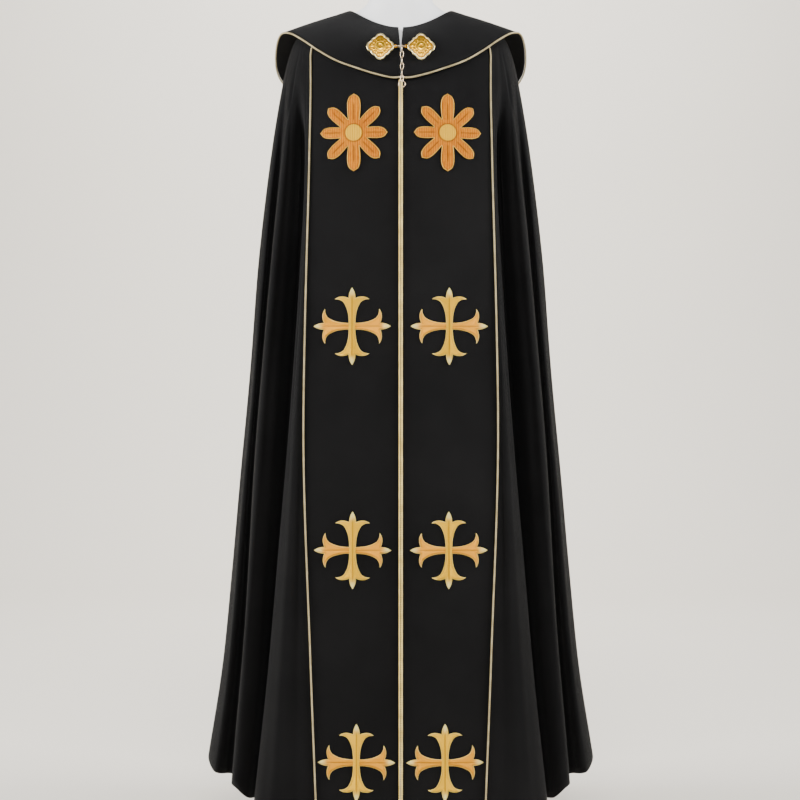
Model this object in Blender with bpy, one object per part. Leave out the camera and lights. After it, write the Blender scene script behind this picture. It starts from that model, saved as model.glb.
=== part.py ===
"""A black cope with gold braid, crosses and rosettes, on a limbless dress form.

Metres, +Z up, the front faces -Y. The origin is under the middle of the stand's base.
Left and right are as seen from the front. The tables hold millimetres and degrees and give
the right half (x above 0), and the left half mirrors it.
"""

import math
from collections import namedtuple

import bmesh
import bpy
from mathutils import Quaternion, Vector
from mathutils.bvhtree import BVHTree

# Driving dimensions
MM = 0.001
CLOTH_WALL = 0.002
COLLAR_WALL = 0.0022
SEAM_GAP = 0.0003
FORM_CLEARANCE = 0.0012
COLLAR_SEAT = 0.0014
BRAID_RADIUS = 0.0019
BRAID_SEAT = 0.00035
MOTIF_LIFT = 0.0005
MOTIF_THICKNESS = 0.0016
CROSS_SPAN = 0.142
CROSS_HEIGHTS = (0.952, 0.542, 0.154)
CROSS_OFFSETS = (0.089, 0.088, 0.081)
ORNAMENT_HEIGHT = 1.308
ORNAMENT_OFFSET = 0.086
ORNAMENT_SIZE = 0.071
CLASP_OFFSET = 0.0375
CLASP_HEIGHT = 1.468
CLASP_RADIUS = 0.0268
WIRE_RADIUS = 0.0007
TORSO_BOTTOM = 0.800
LINK_HALF_LENGTH = 0.0070
LINK_HALF_WIDTH = 0.0028
END_RING_RADIUS = 0.0063
TAIL_LINKS = 6
TAIL_LEAN = 0.0
POLE_RADIUS = 0.0125
BASE_RADIUS = 0.170
BASE_THICKNESS = 0.014
FORM_SIDES = 28
BASE_SIDES = 40
POLE_SIDES = 16

# The figure under the cloth, from the neckline (first row) to below the shoulder point.
# seam is the angle of the band's outer seam, 0 at the front and 180 at the back.
Shoulder = namedtuple("Shoulder", "half_width front back side_z front_z back_z seam opening")
SHOULDERS = (
    Shoulder(90, 74, 66, 1553, 1509, 1560, 60, 4.4),
    Shoulder(120, 92, 82, 1543, 1485, 1548, 60, 3.6),
    Shoulder(150, 106, 98, 1532, 1458, 1530, 60, 1.6),
    Shoulder(178, 118, 112, 1518, 1432, 1505, 59, 0.5),
    Shoulder(197, 127, 124, 1500, 1405, 1475, 56, 0.5),
    Shoulder(208, 133, 133, 1474, 1375, 1440, 52, 0.5),
    Shoulder(217, 137, 138, 1440, 1340, 1400, 49, 0.5),
)

# The folds: each crest and valley as it crosses three level sections of the cloth. A fourth
# section lies low between the middle and the hem, LOW_SHARE of the way from one to the other.
# share is its place on the shoulder, from the seam (0) to the middle of the back (1).
Fold = namedtuple("Fold", "name share chest_x chest_y middle_x middle_y hem_x hem_y hem_z")
CHEST_HEIGHT = 1250
MIDDLE_HEIGHT = 750
LOW_HEIGHT = 330
LOW_SHARE = 0.57
FOLDS = (
    Fold("seam", 0.000, 168, -124, 178, -143, 155, -151, 70),
    Fold("panel", 0.020, 172, -121, 193, -142, 232, -149, 70),
    Fold("roll", 0.045, 177, -106, 206, -122, 269, -124, 72),
    Fold("valley 1", 0.080, 184, -64, 212, -62, 270, -52, 70),
    Fold("slope 2", 0.115, 199, -80, 237, -84, 287, -72, 74),
    Fold("crest 2", 0.150, 218, -85, 261, -87, 310, -76, 96),
    Fold("valley 2", 0.195, 229, -45, 273, -38, 318, -12, 104),
    Fold("crest 3", 0.250, 243, -38, 288, -34, 354, -18, 112),
    Fold("flank 3", 0.305, 250, -2, 295, 12, 367, 36, 142),
    Fold("valley 3", 0.365, 232, 24, 272, 38, 312, 62, 134),
    Fold("crest 4", 0.425, 236, 52, 292, 84, 352, 120, 146),
    Fold("valley 4", 0.490, 212, 68, 250, 98, 290, 130, 132),
    Fold("crest 5", 0.560, 208, 106, 256, 154, 306, 210, 132),
    Fold("valley 5", 0.635, 176, 112, 204, 152, 232, 194, 110),
    Fold("crest 6", 0.720, 158, 148, 190, 206, 220, 268, 108),
    Fold("valley 6", 0.805, 118, 140, 136, 186, 154, 230, 94),
    Fold("crest 7", 0.890, 80, 168, 98, 230, 110, 296, 94),
    Fold("valley 7", 0.960, 32, 154, 40, 204, 44, 258, 86),
    Fold("back", 1.000, 0.15, 160, 0.15, 214, 0.15, 276, 86),
)
BAND_FRONTS = (-147, -153, -155, -156)
BAND_COLUMNS = 6
COLUMNS_PER_FOLD = 3
FALL_STEPS = (0.05, 0.12, 0.21, 0.32, 0.44, 0.57, 0.70, 0.85, 1.0)

# The collar's outer edge, with the angle at the neckline that each point hangs from.
CollarEdge = namedtuple("CollarEdge", "angle x y z bulge")
COLLAR_EDGE = (
    CollarEdge(0, 0.6, -136, 1413, 13),
    CollarEdge(9, 14, -136, 1412, 13),
    CollarEdge(22, 45, -133, 1419, 13),
    CollarEdge(38, 80, -126, 1431, 13),
    CollarEdge(52, 118, -113, 1447, 12),
    CollarEdge(64, 152, -93, 1469, 9),
    CollarEdge(74, 182, -67, 1493, 6),
    CollarEdge(82, 208, -37, 1511, 3),
    CollarEdge(90, 226, -6, 1514, 2),
    CollarEdge(100, 238, 32, 1490, 7),
    CollarEdge(112, 236, 80, 1448, 17),
    CollarEdge(128, 200, 126, 1414, 21),
    CollarEdge(150, 118, 162, 1392, 22),
    CollarEdge(180, 0, 176, 1384, 22),
)
COLLAR_ROWS = 6
COLLAR_SPACING = 1.3
COLLAR_OPENINGS = (4.2, 3.8, 2.8, 1.7, 0.9, 0.6, 0.6)

# The dress form below the shoulders: height, half width, depth forward and backward.
Ring = namedtuple("Ring", "z half_width front back")
TORSO = (
    Ring(1300, 198, 127, 130),
    Ring(1230, 182, 121, 123),
    Ring(1160, 160, 112, 112),
    Ring(1090, 146, 103, 102),
    Ring(1010, 158, 108, 112),
    Ring(920, 176, 116, 124),
    Ring(840, 174, 114, 122),
    Ring(800, 150, 96, 104),
)
NECK = (
    Ring(1568, 66, 62, 54),
    Ring(1585, 58, 57, 52),
    Ring(1605, 56, 55, 52),
    Ring(1621, 56, 55, 52),
    Ring(1625, 51, 50, 47),
)

# The rosette's petals round its centre, angle from straight up, mirrored on both sides.
Petal = namedtuple("Petal", "angle reach spread")
PETALS = (
    Petal(0, 0.62, 16),
    Petal(45, 0.53, 15.5),
    Petal(90, 0.46, 16),
    Petal(135, 0.53, 15.5),
    Petal(180, 0.60, 16),
)
PETAL_CORE = 0.34
PETAL_ROUNDNESS = 3.6
PETAL_TIP = 0.06
PETAL_TIP_SPREAD = 4
ORNAMENT_POINTS = 72

# Small sizes of the build
FALL_DETAIL = 12
COLLAR_DETAIL = 2
FRONT_EDGE = 0.0005
BAND_ROUNDNESS = 2.2
SHOULDER_EDGE = 185
SLOPING_LIFT = 0.75
STEEP_LIFT = 0.25
BRAID_TOP_ROW = 4
BASE_BEVEL = 0.004
CROSS_STRIP = 0.036
ORNAMENT_STRIP = 0.020
COLLAR_CLEARANCE = 0.0045
PROBE = 0.004
PROBE_FROM = -1.0
CLOTH_SHARP = 70
FORM_SHARP = 50
STAND_SHARP = 35
RING_PIECES = 12
WIRE_SIDES = 6
EYE_RADIUS = 0.0026
EYE_WIRE = 0.0008
EYE_OFFSET = 0.0098
EYE_HEIGHT = 0.0043
ACROSS_HALF_LENGTH = 0.0091
ACROSS_HALF_WIDTH = 0.0030
CHAIN_PROBE_X = 0.006
CHAIN_PROBE_DROP = 0.050
TAIL_X = 0.0022
CLASP_SIDES = 24
CLASP_POWER = 1.16
CLASP_NOTCH = 0.035
CLASP_BLUNT = 0.965
CLASP_WAVES = 12
CLASP_LIFT = 0.0009

# The clasp's rings, from the middle of its back over its rim to its boss
ClaspRing = namedtuple("ClaspRing", "scale height")
CLASP_PROFILE = (
    ClaspRing(0.25, 0.0),
    ClaspRing(0.62, 0.0),
    ClaspRing(1.00, 0.0),
    ClaspRing(1.00, 3.2),
    ClaspRing(0.93, 4.0),
    ClaspRing(0.85, 3.2),
    ClaspRing(0.52, 3.4),
    ClaspRing(0.42, 4.5),
    ClaspRing(0.18, 5.2),
)

# One side of a cross's arm, in halves of the cross's span: curves from start to end
Arc = namedtuple("Arc", "start towards end pieces")
CROSS_ARM = (
    Arc((0.086, 0.086), (0.085, 0.42), (0.218, 0.615), 3),
    Arc((0.218, 0.615), (0.295, 0.700), (0.446, 0.700), 2),
    Arc((0.446, 0.700), (0.295, 0.820), (0.087, 0.728), 2),
    Arc((0.087, 0.728), (0.087, 0.880), (0.0, 1.0), 2),
)


def clear_scene():
    for old in list(bpy.data.objects):
        bpy.data.objects.remove(old, do_unlink=True)


def material(name, colour, roughness, metallic=0.0):
    made = bpy.data.materials.new(name)
    made.use_nodes = True
    shader = made.node_tree.nodes["Principled BSDF"]
    shader.inputs["Base Color"].default_value = (*colour, 1.0)
    shader.inputs["Roughness"].default_value = roughness
    shader.inputs["Metallic"].default_value = metallic
    return made


def add_object(name, data, finish):
    thing = bpy.data.objects.new(name, data)
    bpy.context.collection.objects.link(thing)
    data.materials.append(finish)
    return thing


def mesh_object(name, shape, finish):
    bmesh.ops.recalc_face_normals(shape, faces=shape.faces)
    mesh = bpy.data.meshes.new(name)
    shape.to_mesh(mesh)
    shape.free()
    mesh.shade_smooth()
    return add_object(name, mesh, finish)


# Smooth curves through a few points

def curve_point(before, start, end, after, share):
    """A point between start and end, on a curve that runs smoothly through both."""
    first = (start - before).length ** 0.5
    second = first + (end - start).length ** 0.5
    third = second + (after - end).length ** 0.5
    place = first + (second - first) * share
    low = before.lerp(start, place / first)
    middle = start.lerp(end, share)
    high = end.lerp(after, (place - second) / (third - second))
    near = low.lerp(middle, place / second)
    far = middle.lerp(high, (place - first) / (third - first))
    return near.lerp(far, share)


def smooth_line(points, pieces):
    """The points of a smooth line through the given ones, each stretch in equal pieces."""
    ends = [points[0] * 2 - points[1]] + list(points) + [points[-1] * 2 - points[-2]]
    line = []
    for index in range(1, len(ends) - 2):
        for step in range(pieces):
            line.append(curve_point(*ends[index - 1:index + 3], step / pieces))
    line.append(points[-1].copy())
    return line


def points_along(line, shares):
    """The points at the given shares of a line's length."""
    lengths = [0.0]
    for first, second in zip(line, line[1:]):
        lengths.append(lengths[-1] + (second - first).length)
    found = []
    for share in shares:
        wanted = share * lengths[-1]
        index = 0
        while index < len(line) - 2 and lengths[index + 1] < wanted:
            index += 1
        part = (wanted - lengths[index]) / (lengths[index + 1] - lengths[index])
        found.append(line[index].lerp(line[index + 1], part))
    return found


# The figure and the cloth's surfaces

def shoulder_point(row, angle, lift=0.0):
    """A point on one ring of the figure, moved out by lift."""
    turn = math.radians(angle)
    sine = math.sin(turn)
    cosine = math.cos(turn)
    depth = row.front if cosine > 0 else row.back
    end_height = row.front_z if cosine > 0 else row.back_z
    height = row.side_z * sine ** 2 + end_height * cosine ** 2
    point = Vector((row.half_width * sine, -depth * cosine, height)) * MM
    slope = STEEP_LIFT if row.half_width > SHOULDER_EDGE else SLOPING_LIFT
    return point + Vector((sine, -cosine, slope)).normalized() * lift


def sections():
    """The chest, middle, low and hem sections, each a list of points from seam to back."""
    chest = [Vector((fold.chest_x, fold.chest_y, CHEST_HEIGHT)) * MM for fold in FOLDS]
    middle = [Vector((fold.middle_x, fold.middle_y, MIDDLE_HEIGHT)) * MM for fold in FOLDS]
    hem = [Vector((fold.hem_x, fold.hem_y, fold.hem_z)) * MM for fold in FOLDS]
    low = [start.lerp(end, LOW_SHARE) for start, end in zip(middle, hem)]
    for point in low:
        point.z = LOW_HEIGHT * MM
    return chest, middle, low, hem


def column(angles, falls):
    """One line down the cloth: over the shoulder at its angles, then through its falls."""
    lift = FORM_CLEARANCE + CLOTH_WALL
    top = [shoulder_point(row, angle, lift) for row, angle in zip(SHOULDERS, angles)]
    line = smooth_line([top[-2], top[-1]] + falls, FALL_DETAIL)[FALL_DETAIL:]
    return top + points_along(line, FALL_STEPS)


def band_columns():
    """The front band's columns, from its front edge to its seam."""
    columns = []
    for index in range(BAND_COLUMNS + 1):
        share = index / BAND_COLUMNS
        angles = []
        for row in SHOULDERS:
            start = math.degrees(math.asin(row.opening / row.half_width))
            angles.append(start + (row.seam - start) * share)
        falls = []
        for section, front in zip(sections(), BAND_FRONTS):
            seam = section[0]
            x = FRONT_EDGE + (seam.x - FRONT_EDGE) * share
            y = front * MM + (seam.y - front * MM) * share ** BAND_ROUNDNESS
            falls.append(Vector((x, y, seam.z)))
        columns.append(column(angles, falls))
    return columns


def cloak_columns():
    """The cloak's columns, from the band's seam to the middle of the back."""
    levels = [smooth_line(section, COLUMNS_PER_FOLD) for section in sections()]
    shares = smooth_line([Vector((fold.share, 0, 0)) for fold in FOLDS], COLUMNS_PER_FOLD)
    columns = []
    for index, place in enumerate(shares):
        angles = [row.seam + (180 - row.seam) * place.x for row in SHOULDERS]
        columns.append(column(angles, [level[index] for level in levels]))
    for point in columns[-1]:
        point.x = SEAM_GAP / 2
    return columns


def collar_columns(cloth):
    """The collar's right half as columns from the neckline to the edge, front to back."""
    edges = smooth_line([Vector((e.x, e.y, e.z)) * MM for e in COLLAR_EDGE], COLLAR_DETAIL)
    guides = smooth_line([Vector((e.angle, e.bulge, 0)) for e in COLLAR_EDGE], COLLAR_DETAIL)
    lift = FORM_CLEARANCE + CLOTH_WALL + COLLAR_SEAT + COLLAR_WALL
    columns = []
    for edge, guide in zip(edges, guides):
        neck = shoulder_point(SHOULDERS[0], guide.x, lift)
        turn = math.radians(guide.x)
        around = Vector((math.cos(turn), math.sin(turn), 0))
        outward = (edge - neck).cross(around).normalized()
        line = []
        for row in range(COLLAR_ROWS + 1):
            share = (row / COLLAR_ROWS) ** COLLAR_SPACING
            swell = guide.y * MM * 4 * share * (1 - share)
            point = neck.lerp(edge, share) + outward * swell
            line.append(clear_of(cloth, point, COLLAR_CLEARANCE) if row else point)
        columns.append(line)
    for point, opening in zip(columns[0], COLLAR_OPENINGS):
        point.x = opening * MM
    for point in columns[-1]:
        point.x = 0.0
    return columns


def surface_tree(columns):
    """Finds points on the surface through the columns, its faces turned outward."""
    rows = len(columns[0])
    points = [point for line in columns for point in line]
    faces = []
    for index in range(len(columns) - 1):
        for row in range(rows - 1):
            here = index * rows + row
            faces.append((here, here + 1, here + rows + 1, here + rows))
    return BVHTree.FromPolygons(points, faces)


def clear_of(tree, point, distance):
    """The point itself, or moved out where it lies nearer to the surface than distance."""
    nearest, normal, index, reach = tree.find_nearest(point)
    if (point - nearest).dot(normal) < distance:
        return nearest + normal * distance
    return point


def outward_normals(columns):
    """The way out of the cloth at each point of its columns."""
    normals = []
    for index in range(len(columns)):
        before = columns[max(index - 1, 0)]
        after = columns[min(index + 1, len(columns) - 1)]
        line = []
        for row in range(len(before)):
            above = columns[index][max(row - 1, 0)]
            below = columns[index][min(row + 1, len(before) - 1)]
            line.append((below - above).cross(after[row] - before[row]).normalized())
        normals.append(line)
    return normals


def level_normals(normals):
    """Keeps the ways out at a middle seam square to it."""
    for normal in normals:
        normal.x = 0.0
        normal.normalize()


def moved(columns, normals, distance):
    """The columns moved out by a distance."""
    out = []
    for line, ways in zip(columns, normals):
        out.append([point + way * distance for point, way in zip(line, ways)])
    return out


def trimmed(columns, edge, inner):
    """The columns with one edge drawn back by half of the seam's gap."""
    kept = [list(line) for line in columns]
    for row, point in enumerate(columns[edge]):
        kept[edge][row] = point + (columns[inner][row] - point).normalized() * SEAM_GAP / 2
    return kept


def other_side(columns):
    return [[Vector((-point.x, point.y, point.z)) for point in line] for line in columns]


# Building the pieces

def wall(name, outer, inner, finish):
    """A closed sheet between two sets of columns."""
    shape = bmesh.new()
    outside = [[shape.verts.new(point) for point in line] for line in outer]
    inside = [[shape.verts.new(point) for point in line] for line in inner]
    columns = len(outer)
    rows = len(outer[0])
    for index in range(columns - 1):
        for row in range(rows - 1):
            for sheet in (outside, inside):
                shape.faces.new((sheet[index][row], sheet[index + 1][row],
                                 sheet[index + 1][row + 1], sheet[index][row + 1]))
    rim = [(index, 0) for index in range(columns)]
    rim += [(columns - 1, row) for row in range(1, rows)]
    rim += [(index, rows - 1) for index in range(columns - 2, -1, -1)]
    rim += [(0, row) for row in range(rows - 2, -1, -1)]
    for start, end in zip(rim, rim[1:]):
        shape.faces.new((outside[start[0]][start[1]], outside[end[0]][end[1]],
                         inside[end[0]][end[1]], inside[start[0]][start[1]]))
    thing = mesh_object(name, shape, finish)
    thing.data.set_sharp_from_angle(angle=math.radians(CLOTH_SHARP))
    return thing


def tube(name, points, radius, finish):
    """A round cord through the points, with closed ends."""
    curve = bpy.data.curves.new(name, "CURVE")
    curve.dimensions = "3D"
    curve.bevel_depth = radius
    curve.bevel_resolution = 1
    curve.use_fill_caps = True
    spline = curve.splines.new("POLY")
    spline.points.add(len(points) - 1)
    for target, point in zip(spline.points, points):
        target.co = (*point, 1.0)
    return add_object(name, curve, finish)


def loft(rings):
    """A closed shape through rings of points, with its first and last ring filled."""
    shape = bmesh.new()
    loops = [[shape.verts.new(point) for point in ring] for ring in rings]
    for lower, upper in zip(loops, loops[1:]):
        for side in range(len(lower)):
            after = (side + 1) % len(lower)
            shape.faces.new((lower[side], lower[after], upper[after], upper[side]))
    shape.faces.new(loops[0])
    shape.faces.new(loops[-1])
    return shape


def oval_ring(z, half_width, front, back):
    points = []
    for side in range(FORM_SIDES):
        turn = 2 * math.pi * side / FORM_SIDES
        depth = front if math.cos(turn) > 0 else back
        points.append(Vector((half_width * math.sin(turn), -depth * math.cos(turn), z)) * MM)
    return points


def figure_ring(row):
    points = []
    for side in range(FORM_SIDES):
        angle = 360 * side / FORM_SIDES
        point = shoulder_point(row, min(angle, 360 - angle))
        if angle > 180:
            point.x = -point.x
        points.append(point)
    return points


def build_form(finish):
    """The smooth torso with its neck, closed above and below."""
    rings = [oval_ring(*ring) for ring in reversed(TORSO)]
    rings += [figure_ring(row) for row in reversed(SHOULDERS)]
    rings += [oval_ring(*ring) for ring in NECK]
    form = mesh_object("dress_form", loft(rings), finish)
    form.data.set_sharp_from_angle(angle=math.radians(FORM_SHARP))


def turned(name, profile, sides, finish):
    """A round body turned about the upright axis from (radius, height) pairs, top first."""
    shape = bmesh.new()
    points = [shape.verts.new((radius, 0, height)) for radius, height in profile]
    edges = [shape.edges.new(pair) for pair in zip(points, points[1:])]
    bmesh.ops.spin(shape, geom=points + edges, cent=(0, 0, 0), axis=(0, 0, 1), dvec=(0, 0, 0),
                   angle=2 * math.pi, steps=sides, use_merge=True)
    bmesh.ops.remove_doubles(shape, verts=shape.verts, dist=0.00001)
    thing = mesh_object(name, shape, finish)
    thing.data.set_sharp_from_angle(angle=math.radians(STAND_SHARP))


def build_stand(finish):
    low = BASE_THICKNESS + SEAM_GAP
    high = TORSO_BOTTOM - SEAM_GAP
    turned("stand_base", ((0, BASE_THICKNESS), (BASE_RADIUS - BASE_BEVEL, BASE_THICKNESS),
                          (BASE_RADIUS, BASE_THICKNESS - BASE_BEVEL), (BASE_RADIUS, 0), (0, 0)),
           BASE_SIDES, finish)
    turned("stand_pole", ((0, high), (POLE_RADIUS, high), (POLE_RADIUS, low), (0, low)),
           POLE_SIDES, finish)


def build_cloth(finish):
    """Front bands, cloak halves and the braid cords along the bands' edges."""
    bands = band_columns()
    columns = bands[:-1] + cloak_columns()
    normals = outward_normals(columns)
    level_normals(normals[-1])
    level_normals(normals[0])
    inner = moved(columns, normals, -CLOTH_WALL)
    seam = len(bands) - 1
    pieces = {"band": (slice(0, seam + 1), -1, -2), "cloak": (slice(seam, None), 0, 1)}
    for piece, (part, edge, beside) in pieces.items():
        outside = trimmed(columns[part], edge, beside)
        inside = trimmed(inner[part], edge, beside)
        wall(piece + "_right", outside, inside, finish)
        wall(piece + "_left", other_side(outside), other_side(inside), finish)
    return columns, normals, seam


def build_braid(columns, normals, seam, finish):
    lifted = moved(columns, normals, BRAID_RADIUS + BRAID_SEAT)
    for name, line in (("front_braid", lifted[0]), ("band_braid", lifted[seam])):
        cord = line[BRAID_TOP_ROW:]
        if name == "front_braid":
            cord = [Vector((BRAID_RADIUS + SEAM_GAP / 2, point.y, point.z)) for point in cord]
        tube(name + "_right", cord, BRAID_RADIUS, finish)
        tube(name + "_left", [Vector((-point.x, point.y, point.z)) for point in cord],
             BRAID_RADIUS, finish)


def build_collar(columns, cloth, braid):
    """The collar, in one piece round the neck, and the cord along its edge."""
    right = collar_columns(surface_tree(columns))
    normals = outward_normals(right)
    level_normals(normals[-1])
    level_normals(normals[0])
    inner = moved(right, normals, -COLLAR_WALL)
    outer = right + other_side(right)[-2::-1]
    inside = inner + other_side(inner)[-2::-1]
    collar = wall("collar", outer, inside, cloth)
    cord = []
    for index, (line, back) in enumerate(zip(outer, inside)):
        edge = (line[-1] + back[-1]) / 2
        along = outer[min(index + 1, len(outer) - 1)][-1] - outer[max(index - 1, 0)][-1]
        away = (line[-1] - line[-2]).normalized()
        away -= along * away.dot(along) / along.length_squared
        cord.append(edge + away.normalized() * (BRAID_RADIUS + BRAID_SEAT))
    tube("collar_braid", cord, BRAID_RADIUS, braid)
    return collar


# Motifs that lie on the cloth

def panel_tree(panel):
    return BVHTree.FromObject(panel, bpy.context.evaluated_depsgraph_get())


def on_panel(tree, x, z):
    """Where a level line from the front meets the panel, and the way out there."""
    hit, normal, index, distance = tree.ray_cast(Vector((x, PROBE_FROM, z)), Vector((0, 1, 0)))
    if normal.y > 0:
        normal = -normal
    return hit, normal


def lay_on(shape, tree, centre_x, centre_z, lift):
    """Moves a flat shape (x across, z up, -y out) onto the panel, lift above it."""
    for vertex in shape.verts:
        x = centre_x + vertex.co.x
        z = centre_z + vertex.co.z
        outward = Vector((0, 0, 0))
        for side_x, side_z in ((PROBE, 0), (-PROBE, 0), (0, PROBE), (0, -PROBE)):
            outward += on_panel(tree, x + side_x, z + side_z)[1]
        vertex.co = on_panel(tree, x, z)[0] + outward.normalized() * (lift - vertex.co.y)


def plate(outline, thickness, strip):
    """A flat plate of (x, z) pairs, back at y = 0, cut across so that it can follow cloth."""
    shape = bmesh.new()
    face = shape.faces.new([shape.verts.new((x, 0, z)) for x, z in outline])
    risen = bmesh.ops.extrude_face_region(shape, geom=[face])
    front = [item for item in risen["geom"] if isinstance(item, bmesh.types.BMVert)]
    bmesh.ops.translate(shape, verts=front, vec=(0, -thickness, 0))
    count = int(CROSS_SPAN / 2 / strip)
    for axis in (Vector((1, 0, 0)), Vector((0, 0, 1))):
        for step in range(-count, count + 1):
            everything = shape.verts[:] + shape.edges[:] + shape.faces[:]
            bmesh.ops.bisect_plane(shape, geom=everything, dist=0.00002,
                                   plane_co=axis * step * strip, plane_no=axis)
    bmesh.ops.triangulate(shape, faces=shape.faces)
    return shape


def arc_points(start, middle, end, count):
    """Points of a curve that leaves start towards middle and arrives at end."""
    points = []
    for step in range(count + 1):
        share = step / count
        rest = 1 - share
        x = rest ** 2 * start[0] + 2 * share * rest * middle[0] + share ** 2 * end[0]
        z = rest ** 2 * start[1] + 2 * share * rest * middle[1] + share ** 2 * end[1]
        points.append((x, z))
    return points


def cross_outline():
    """A cross whose four arms each end in a leaf between two swept horns."""
    side = []
    for arc in CROSS_ARM:
        side += arc_points(arc.start, arc.towards, arc.end, arc.pieces)[:-1]
    arm = [(-x, z) for x, z in side] + [(0, 1)] + side[:0:-1]
    outline = []
    for quarter in range(4):
        turn = quarter * math.pi / 2
        for x, z in arm:
            outline.append(((x * math.cos(turn) + z * math.sin(turn)) * CROSS_SPAN / 2,
                            (z * math.cos(turn) - x * math.sin(turn)) * CROSS_SPAN / 2))
    return outline


def ornament_outline():
    """A rosette: petals with small tips round its centre, the same on both sides."""
    outline = []
    for step in range(ORNAMENT_POINTS):
        angle = 360 * step / ORNAMENT_POINTS
        side = min(angle, 360 - angle)
        reach = PETAL_CORE
        for petal in PETALS:
            apart = abs(side - petal.angle)
            reach += petal.reach * math.exp(-(apart / petal.spread) ** PETAL_ROUNDNESS)
            reach += PETAL_TIP * math.exp(-apart / PETAL_TIP_SPREAD)
        turn = math.radians(angle)
        reach *= ORNAMENT_SIZE
        outline.append((reach * math.sin(turn), reach * math.cos(turn)))
    return outline


def build_motifs(finish):
    """Three crosses and one rosette on each front band."""
    for side, hand in ((-1, "left"), (1, "right")):
        tree = panel_tree(bpy.data.objects["band_" + hand])
        places = [("ornament_" + hand, ornament_outline(), ORNAMENT_STRIP, ORNAMENT_OFFSET,
                   ORNAMENT_HEIGHT)]
        for level, height, offset in zip(("high", "middle", "low"), CROSS_HEIGHTS, CROSS_OFFSETS):
            places.append(("cross_%s_%s" % (level, hand), cross_outline(), CROSS_STRIP, offset, height))
        for name, outline, strip, offset, height in places:
            shape = plate(outline, MOTIF_THICKNESS, strip)
            lay_on(shape, tree, side * offset, height, MOTIF_LIFT)
            mesh_object(name, shape, finish)


# The clasps and the chain

def ring_shape(centre, normal, long_axis, half_length, half_width, wire):
    """An oval wire ring in the plane square to normal, its length along long_axis."""
    across = normal.cross(long_axis).normalized()
    shape = bmesh.new()
    loops = []
    for step in range(RING_PIECES):
        turn = 2 * math.pi * step / RING_PIECES
        cosine = math.cos(turn)
        sine = math.sin(turn)
        middle = centre + long_axis * half_length * cosine + across * half_width * sine
        away = (long_axis * half_width * cosine + across * half_length * sine).normalized()
        loop = []
        for side in range(WIRE_SIDES):
            spin = 2 * math.pi * side / WIRE_SIDES
            way = away * math.cos(spin) + normal * math.sin(spin)
            loop.append(shape.verts.new(middle + way * wire))
        loops.append(loop)
    for step, loop in enumerate(loops):
        following = loops[(step + 1) % RING_PIECES]
        for side in range(WIRE_SIDES):
            after = (side + 1) % WIRE_SIDES
            shape.faces.new((loop[side], loop[after], following[after], following[side]))
    return shape


def lozenge(share, scale):
    """One point of the clasp's outline: a lozenge with blunt corners and notched sides."""
    turn = 2 * math.pi * share
    corners = abs(math.sin(turn)) ** CLASP_POWER + abs(math.cos(turn)) ** CLASP_POWER
    wave = 1 - CLASP_NOTCH * math.cos(CLASP_WAVES * turn)
    reach = min(corners ** (-1 / CLASP_POWER) * wave, CLASP_BLUNT) * CLASP_RADIUS * scale
    return reach * math.sin(turn), reach * math.cos(turn)


def build_clasp(hand, side, tree, eye, outward, finish):
    """A raised clasp with a rim and a boss, and the eye at its inner corner."""
    rings = []
    for row in CLASP_PROFILE:
        ring = [lozenge(index / CLASP_SIDES, row.scale) for index in range(CLASP_SIDES)]
        rings.append([Vector((x, -row.height * MM, z)) for x, z in ring])
    shape = loft(rings)
    lay_on(shape, tree, side * CLASP_OFFSET, CLASP_HEIGHT, CLASP_LIFT)
    clasp = mesh_object("clasp_" + hand, shape, finish)
    ring = ring_shape(eye, outward, Vector((1, 0, 0)), EYE_RADIUS, EYE_RADIUS, EYE_WIRE)
    cutter = mesh_object("clasp_eye_" + hand, ring, finish)
    cutter.hide_render = True
    cutter.display_type = "WIRE"
    join = clasp.modifiers.new("eye", "BOOLEAN")
    join.operation = "UNION"
    join.object = cutter
    join.solver = "EXACT"


def build_morse(collar, gold, metal):
    """Two clasps, the link that joins them, and the tail of links that swings from it."""
    tree = panel_tree(collar)
    sideways = Vector((1, 0, 0))
    seat = on_panel(tree, CHAIN_PROBE_X, CLASP_HEIGHT)[0]
    low = on_panel(tree, CHAIN_PROBE_X, CLASP_HEIGHT - CHAIN_PROBE_DROP)[0]
    down = (low - seat).normalized()
    outward = down.cross(sideways).normalized()
    seat.x = 0.0
    for hand, side in (("left", -1), ("right", 1)):
        eye = seat + sideways * side * EYE_OFFSET + outward * EYE_HEIGHT
        build_clasp(hand, side, tree, eye, outward, gold)
    middle = seat + outward * EYE_HEIGHT
    across = ring_shape(middle, down, sideways, ACROSS_HALF_LENGTH, ACROSS_HALF_WIDTH, WIRE_RADIUS)
    mesh_object("chain_link_across", across, metal)
    bow = math.sqrt(1 - (TAIL_X / ACROSS_HALF_LENGTH) ** 2)
    hinge = middle + outward * ACROSS_HALF_WIDTH * bow + sideways * TAIL_X
    fall = Quaternion(sideways, math.radians(TAIL_LEAN)) @ down
    flat = fall.cross(sideways).normalized()
    pivot = bpy.data.objects.new("chain_tail_hinge", None)
    pivot.location = hinge
    bpy.context.collection.objects.link(pivot)
    spacing = 2 * LINK_HALF_LENGTH - 2 * WIRE_RADIUS - SEAM_GAP
    top = -(2 * WIRE_RADIUS + SEAM_GAP)
    for index in range(TAIL_LINKS + 1):
        last = index == TAIL_LINKS
        half_length = END_RING_RADIUS if last else LINK_HALF_LENGTH
        half_width = END_RING_RADIUS if last else LINK_HALF_WIDTH
        centre = fall * (top + index * spacing + half_length)
        normal = sideways if index % 2 == 0 else flat
        name = "chain_end_ring" if last else "chain_tail_link_%d" % (index + 1)
        shape = ring_shape(centre, normal, fall, half_length, half_width, WIRE_RADIUS)
        link = mesh_object(name, shape, metal)
        link.parent = pivot


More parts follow.
